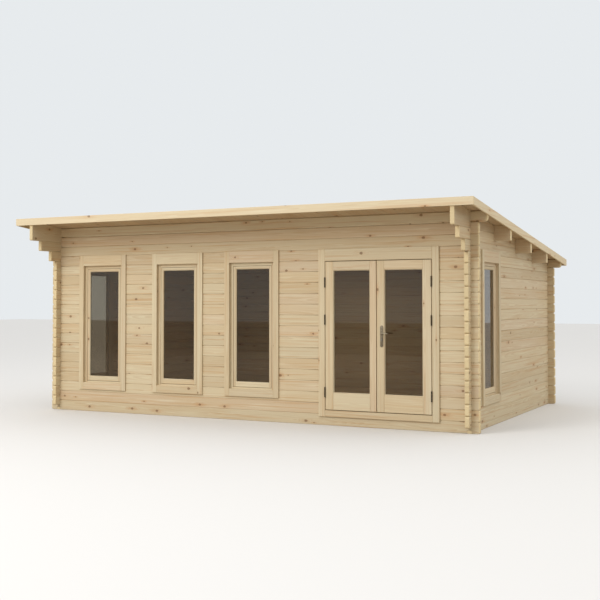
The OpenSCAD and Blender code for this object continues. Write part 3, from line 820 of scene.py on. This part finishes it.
# ---- Windows and doors ----
class Face:
    """Places pieces on one outer face of the cabin: u along it, d inwards from it, z up."""

    def __init__(self, u_axis, outer, inward):
        self.u, self.outer, self.inward = u_axis, outer, inward
        self.d = 1 - u_axis

    def point(self, u, d, z):
        p = [0.0, 0.0, z]
        p[self.u] = u
        p[self.d] = self.outer + self.inward * d
        return p

    def board(self, timber, upright, u0, u1, d0, d1, z0, z1, radius=0.002):
        a, b = self.point(u0, d0, z0), self.point(u1, d1, z1)
        low, high = [min(p) for p in zip(a, b)], [max(p) for p in zip(a, b)]
        timber.board(Z if upright else self.u, low, high, radius)

    def frame(self, timber, box, widths, d0, d1, radius=0.002):
        """Four boards round box (u0, u1, z0, z1), outside to outside: uprights full height, rails between.
        widths: uprights, low rail, high rail; a low rail of 0 is left out."""
        u0, u1, z0, z1 = box
        side, low, high = widths
        a, b = u0 + side + SEAT, u1 - side - SEAT
        self.board(timber, True, u0, u0 + side, d0, d1, z0, z1, radius)
        self.board(timber, True, u1 - side, u1, d0, d1, z0, z1, radius)
        if low:
            self.board(timber, False, a, b, d0, d1, z0, z0 + low, radius)
        self.board(timber, False, a, b, d0, d1, z1 - high, z1, radius)

    def beads(self, timber, pane, face, glass):
        """Splayed glazing beads round a pane (u0, u1, z0, z1), mitred, from its face to its glass."""
        way = 1 if glass > face else -1
        edge, flat, lip = 0.006 * way, 0.003, 0.0015 * way
        u0, u1, z0, z1 = pane
        corners = [(u0, z0, -1, -1), (u1, z0, 1, -1), (u1, z1, 1, 1), (u0, z1, -1, 1)]
        profile = [(0.0, glass), (0.0, glass - edge), (BEAD_W - flat, face + lip),
                   (BEAD_W, face + lip), (BEAD_W, glass)]
        for i in range(4):
            sections = []
            for u, z, su, sz in (corners[i], corners[(i + 1) % 4]):
                sections.append([self.point(u + su * o, d, z + sz * o) for o, d in profile])
            along = self.u if i in (0, 2) else Z
            timber.loft(sections, (along, Z if along != Z else self.u, self.d))


# Width of a glazing bead, and how far a pane of a door leaf lies in its groove
BEAD_W, LEAF_GROOVE = 0.011, 0.01
# How far a window frame lies behind the wall's face, and its sash behind the frame's
FRAME_SET, SASH_SET = 0.02, 0.002
SASH_T, GLASS_T = 0.034, 0.004
# Thickness of the boards round an opening, outside and inside, and how far they lap the frame
TRIM_T, INNER_T, BOARD_LAP = 0.02, 0.018, 0.005
# How far the stop behind a sash stands in from the frame, and how far the stop behind a leaf does
WINDOW_STOP, DOOR_STOP = 0.014, 0.023
# Widths of uprights, low rail and high rail
WINDOW_TRIM, SASH_RAILS = (0.071, 0.093, 0.141), (0.038, 0.065, 0.038)
JAMB_W, THRESHOLD_H = 0.03, 0.049
# Gap behind a closed leaf
LEAF_GAP = 0.008
# Radii of the edges of boards, leaves and sashes
TRIM_R, LEAF_R, SASH_R, LAP_R = 0.003, 0.0035, 0.0025, 0.001
FRONT = Face(X, FRONT_Y, 1)
LEFT = Face(Y, LEFT_X, 1)
RIGHT = Face(Y, RIGHT_X, -1)
WINDOWS = [("window_1", FRONT), ("window_2", FRONT), ("window_3", FRONT),
           ("left_window", LEFT), ("right_window", RIGHT)]


def casing(number, name, side):
    """A window's frame with its stop, and the boards round it outside and inside."""
    hole = window_hole(f"{name}_sash", side.u)
    low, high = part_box(f"{name}_frame")
    trim = (low[side.u], high[side.u], low.z, high.z)
    stop = FRAME_SET + SASH_SET + SASH_T + SEAT
    back = WALL_T + INNER_T
    frame_w = (WINDOW_FRAME_W, WINDOW_SILL_H, WINDOW_FRAME_W)
    timber = Timber(40 + number)
    side.frame(timber, trim, WINDOW_TRIM, -TRIM_T, 0.0, TRIM_R)
    side.frame(timber, hole, (BOARD_LAP, BOARD_LAP, BOARD_LAP), 0.0, FRAME_SET, LAP_R)
    side.frame(timber, hole, frame_w, FRAME_SET, stop)
    side.frame(timber, hole, [w + WINDOW_STOP for w in frame_w], stop, back)
    side.frame(timber, trim, WINDOW_TRIM, WALL_T, back, TRIM_R)
    timber.build(f"{name}_casing", JOINERY, "joinery", "cabin", f"{name}_frame")


def sash(number, name, side):
    """A window's sash with its glazing beads."""
    low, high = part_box(f"{name}_sash")
    stile, sill, rail = SASH_RAILS
    outside = (low[side.u], high[side.u], low.z, high.z)
    pane = (outside[0] + stile, outside[1] - stile, outside[2] + sill, outside[3] - rail)
    start = FRAME_SET + SASH_SET
    end = start + SASH_T
    glass_at = start + SASH_T / 2 - GLASS_T / 2
    timber = Timber(60 + number)
    side.frame(timber, outside, [w - BEAD_W for w in SASH_RAILS], start, end, SASH_R)
    side.beads(timber, pane, start, glass_at)
    side.beads(timber, pane, end, glass_at + GLASS_T)
    timber.build(f"{name}_sash_timber", JOINERY, "joinery", "cabin", f"{name}_sash")


def doorway():
    """The door's frame with its threshold and stops, and the boards round it outside and inside."""
    low, high = DOOR_LOW, DOOR_HIGH
    u0, u1, z0, z1 = low.x + JAMB_W, high.x - JAMB_W, low.z + THRESHOLD_H, high.z - JAMB_W
    stop_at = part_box("left_door")[1].y - FRONT_Y + LEAF_GAP
    slit = 0.001
    timber = Timber(81)
    FRONT.frame(timber, (low.x, high.x, low.z, high.z), (JAMB_W, THRESHOLD_H, JAMB_W), 0.0, WALL_T)
    for u in (u0, u1 - DOOR_STOP):
        FRONT.board(timber, True, u, u + DOOR_STOP, stop_at, WALL_T, z0 + DOOR_STOP, z1)
    FRONT.board(timber, False, u0, u1, stop_at, WALL_T, z0, z0 + DOOR_STOP)
    FRONT.board(timber, False, u0 + DOOR_STOP + slit, u1 - DOOR_STOP - slit, stop_at, WALL_T,
                z1 - DOOR_STOP, z1)
    timber.build("door_casing", JOINERY, "joinery", "cabin", "door_frame")

    trim_low, trim_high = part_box("door_trim")
    side, head = u0 - trim_low.x, trim_high.z - z1
    timber = Timber(82)
    FRONT.frame(timber, (trim_low.x, trim_high.x, trim_low.z, trim_high.z),
                (side, z0 - trim_low.z, head), -TRIM_T, 0.0, TRIM_R)
    FRONT.frame(timber, (trim_low.x, trim_high.x, low.z, trim_high.z),
                (side + DOOR_STOP, 0, head + DOOR_STOP), WALL_T, WALL_T + INNER_T, TRIM_R)
    timber.build("door_boards", JOINERY, "joinery", "cabin", "door_trim")


def leaf(number, name):
    """A door leaf's stiles and rails, with glazing beads on both faces."""
    low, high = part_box(name)
    glass_low, glass_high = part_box(f"{name}_glass")
    pane = (glass_low.x + LEAF_GROOVE, glass_high.x - LEAF_GROOVE,
            glass_low.z + LEAF_GROOVE, glass_high.z - LEAF_GROOVE)
    face, back = low.y - FRONT_Y, high.y - FRONT_Y
    left_w, right_w = pane[0] - low.x - BEAD_W, high.x - pane[1] - BEAD_W
    timber = Timber(90 + number)
    FRONT.board(timber, True, low.x, low.x + left_w, face, back, low.z, high.z, LEAF_R)
    FRONT.board(timber, True, high.x - right_w, high.x, face, back, low.z, high.z, LEAF_R)
    for z0, z1 in ((low.z, pane[2] - BEAD_W), (pane[3] + BEAD_W, high.z)):
        FRONT.board(timber, False, low.x + left_w + SEAT, high.x - right_w - SEAT,
                    face, back, z0, z1, LEAF_R)
    FRONT.beads(timber, pane, face, glass_low.y - FRONT_Y)
    FRONT.beads(timber, pane, back, glass_high.y - FRONT_Y)
    timber.build(f"{name}_timber", JOINERY, "joinery", name, name)


# ---- Metalwork ----
SCREW_R = 0.0042
# How far the screws lie from the ends of a hinge or a plate
SCREW_INSET = 0.018


def hinge_screws():
    """Countersunk heads on both plates of each hinge."""
    rise, from_back = 0.0006, 0.017
    # How far the leaf's plates stand out from its edge, and where the frame's plates have their faces
    leaf_face, frame_face = 0.00195, 0.006 + 0.00005
    for name, way in (("left_door", 1), ("right_door", -1)):
        on_leaf, on_frame = Skin(), Skin()
        low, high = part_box(name)
        edge = low.x if way > 0 else high.x
        for low, high in solids(f"{name}_hinges"):
            y = high.y - from_back
            for z in (low.z + SCREW_INSET, (low.z + high.z) / 2, high.z - SCREW_INSET):
                on_leaf.dome((edge - way * leaf_face, y, z), X, -way, SCREW_R, rise)
                on_frame.dome((edge - way * frame_face, y, z), X, way, SCREW_R, rise)
        on_leaf.build(f"{name}_hinge_screws", STEEL, "dark_steel", name)
        on_frame.build(f"{name}_frame_screws", STEEL, "dark_steel", "cabin")


def stadium(x, z, half_w, half_h, y, around=16):
    """A ring with straight sides and round ends."""
    ring = []
    for end, start in ((1, 0.0), (-1, math.pi)):
        for k in range(around + 1):
            angle = start + math.pi * k / around
            ring.append((x + half_w * math.cos(angle), y,
                         z + end * (half_h - half_w) + half_w * math.sin(angle)))
    return ring


def circle(x, z, radius, y, around=24):
    turns = [2 * math.pi * k / around for k in range(around)]
    return [(x + radius * math.cos(turn), y, z + radius * math.sin(turn)) for turn in turns]


LOCK_LOW, LOCK_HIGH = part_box("lock_plates")
HANDLE_LOW, HANDLE_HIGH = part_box("door_handle")
LOCK_X = (LOCK_LOW.x + LOCK_HIGH.x) / 2
SPINDLE_Z = (HANDLE_LOW.z + HANDLE_HIGH.z) / 2


def lock():
    """On both faces of the right leaf: a plate with a bevelled edge, its screws, a lock cylinder and a
    painted-shade keyhole.
    """
    leaf_low, leaf_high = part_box("right_door")
    x, z = LOCK_X, (LOCK_LOW.z + LOCK_HIGH.z) / 2
    half_w, half_h = (LOCK_HIGH.x - LOCK_LOW.x) / 2, (LOCK_HIGH.z - LOCK_LOW.z) / 2
    # The edge of a plate: how far in, and which share of the thickness up
    edge = ((0.0, 0.0), (0.0, 0.45), (0.0006, 0.7), (0.002, 0.9), (0.0045, 1.0))
    cylinder_z, cylinder_drop, cylinder_half = SPINDLE_Z - 0.072, 0.006, (0.0075, 0.0165)
    keyhole_half = (0.0011, 0.0042)
    sunk, screw_rise = 0.0002, 0.0011
    plates, steel, keyhole_shade = Skin(), Skin(), Skin()
    for face, outer, way in ((leaf_low.y, LOCK_LOW.y, -1), (leaf_high.y, LOCK_HIGH.y, 1)):
        thick = abs(outer - face)
        plates.loops([stadium(x, z, half_w - shrink, half_h - shrink, face + way * thick * rise)
                      for shrink, rise in edge])
        top = face + way * thick
        for screw_z in (z + half_h - SCREW_INSET, z - half_h + SCREW_INSET):
            steel.dome((x, top - way * sunk, screw_z), Y, way, SCREW_R, screw_rise)
        steel.loops([stadium(x, cylinder_z - cylinder_drop, *cylinder_half, top + way * rise)
                     for rise in (-sunk, 0.0022)])
        # Each keyhole is a thin dark plate standing on the cylinder: painted shade where the slot's hollow
        # is.
        keyhole_shade.loops([[(x + s * keyhole_half[0], top + way * rise, cylinder_z + e * keyhole_half[1])
                         for s, e in ((-1, -1), (1, -1), (1, 1), (-1, 1))] for rise in (0.0021, 0.0026)])
    plates.build("lock_plate_pair", METAL, "handle_metal", "right_door", "lock_plates")
    steel.build("lock_screws_and_cylinder", STEEL, "handle_metal", "right_door")
    keyhole_shade.build("keyhole_shade", DARK_STEEL_AND_SHADE, "handle_metal", "right_door")


def lever(skin, face, grip_y, way):
    """A lever on one face: a collar round the spindle, a neck, a bend and a waved, tapered grip."""
    x, z = LOCK_X, SPINDLE_Z
    neck_r, bend, wave = 0.0085, 0.016, 0.0022
    # The collar: radius, and how far out
    collar = ((0.0086, -0.004), (0.0086, 0.004), (0.013, 0.0045), (0.013, 0.0085), (0.0105, 0.011),
              (0.0086, 0.0115))
    skin.loops([circle(x, z, r, face + way * d * 0.9 + way * 0.001) for r, d in collar])
    neck = abs(grip_y - face) - bend
    path = [Vector((x, face + way * (k / 4 * neck), z)) for k in range(5)]
    sizes = [(neck_r, neck_r)] * 5
    for k in range(1, 9):
        angle = k / 8 * math.pi / 2
        path.append(Vector((x + bend * (1 - math.cos(angle)),
                            grip_y - way * bend * (1 - math.sin(angle)), z)))
        sizes.append((neck_r - 0.0005 * k / 8, neck_r - 0.0015 * k / 8))
    length = HANDLE_HIGH.x - x - bend - 0.001
    round_from, least = 0.93, 0.25
    for k in range(1, 17):
        f = k / 16
        path.append(Vector((x + bend + f * length, grip_y, z + wave * math.sin(f * math.pi * 1.5))))
        past = max(0.0, f - round_from) / (1 - round_from)
        share = max(math.sqrt(max(0.0, 1 - past ** 2)), least)
        sizes.append(((0.008 - 0.0014 * f) * share, (0.007 - 0.0015 * f) * share))
    skin.swept(path, sizes)


def levers():
    inset = 0.009
    skin = Skin()
    lever(skin, LOCK_LOW.y, HANDLE_LOW.y + inset, -1)
    lever(skin, LOCK_HIGH.y, HANDLE_HIGH.y - inset, 1)
    skin.build("lever_handles", LEVER_PAINTED_HIGHLIGHT, "handle_metal", "handle", "door_handle")


roof_planks()
purlins()
edge_boards()
felt_sheets()
floor()
for number, (name, side) in enumerate(WINDOWS):
    casing(number, name, side)
    sash(number, name, side)
doorway()
leaf(0, "left_door")
leaf(1, "right_door")
hinge_screws()
lock()
levers()
for name, node in NODES.items():
    if name.endswith("glass"):
        node.material_slots[0].material = GLASS
    elif name.endswith("hinges"):
        node.material_slots[0].material = DARK_STEEL_AND_SHADE


# ---- Studio: floor, lights and camera ----
def ground():
    """A wide floor: pale to the camera, and as dark as ground for the light that it throws back."""
    half = 60.0
    mesh = bpy.data.meshes.new("floor")
    mesh.from_pydata([(-half, -half, 0), (half, -half, 0), (half, half, 0), (-half, half, 0)],
                     [], [(0, 1, 2, 3)])
    made = bpy.data.objects.new("floor", mesh)
    bpy.context.scene.collection.objects.link(made)
    t = material("studio_floor")
    seen = t.node("ShaderNodeLightPath", output="Is Camera Ray")
    t.set("Base Color", t.mix(seen, (0.46, 0.41, 0.35, 1.0), (0.74, 0.73, 0.71, 1.0)))
    t.set("Roughness", 0.9)
    mesh.materials.append(t.owner)


def world():
    """A pale backdrop where it is seen, directly or in metal and glass, and an even sky that lights."""
    bpy.context.scene.world = bpy.data.worlds.new("studio")
    t = Tree(bpy.context.scene.world, "Background")
    _, _, height = t.split(t.node("ShaderNodeTexCoord", output="Generated"))
    sky = t.grey(t.span(height, -0.1, 1.0, 0.45, 1.25, "LINEAR"))
    seen = 0.0
    for ray in ("Is Camera Ray", "Is Glossy Ray", "Is Transmission Ray"):
        seen = t.math("MAXIMUM", seen, t.node("ShaderNodeLightPath", output=ray))
    t.set("Color", t.mix(seen, sky, (0.80, 0.83, 0.85, 1.0)))
    t.set("Strength", 1.0)


def lamp(name, place, aim, size, power, colour):
    """A round area lamp, and the object that it is on."""
    data = bpy.data.lights.new(name, "AREA")
    data.shape = "DISK"
    data.size = size
    data.energy = power
    data.color = colour
    made = bpy.data.objects.new(name, data)
    made.location = place
    made.rotation_euler = (Vector(aim) - Vector(place)).to_track_quat("-Z", "Y").to_euler()
    bpy.context.scene.collection.objects.link(made)
    return made


def lamps():
    """Two soft lamps outside, and a weak one in the room for the light that its walls would pass on."""
    lamp("key", (-5.0, -15.0, 9.0), (0, 0, 1.0), 9.0, 1100.0, (1.0, 0.98, 0.96))
    lamp("side", (14.0, 1.0, 7.0), (0, 0, 1.0), 8.0, 220.0, (1.0, 0.99, 0.97))
    inside = lamp("inside", (0.0, 0.0, 1.95), (0, 0, 0), 2.5, 15.0, (1.0, 0.88, 0.7))
    inside.visible_camera = inside.visible_glossy = inside.visible_transmission = False


def camera():
    data = bpy.data.cameras.new("camera")
    data.sensor_width = 36.0
    data.lens = 59.74
    data.shift_y = -0.044
    data.clip_end = 200.0
    made = bpy.data.objects.new("camera", data)
    made.location = (6.187, -12.583, 1.4346)
    made.rotation_euler = (math.radians(90 + 1.74), math.radians(0.04), math.radians(26.74))
    bpy.context.scene.collection.objects.link(made)
    bpy.context.scene.camera = made


ground()
world()
lamps()
camera()
bpy.context.scene.view_settings.view_transform = "Standard"

bpy.context.view_layer.update()
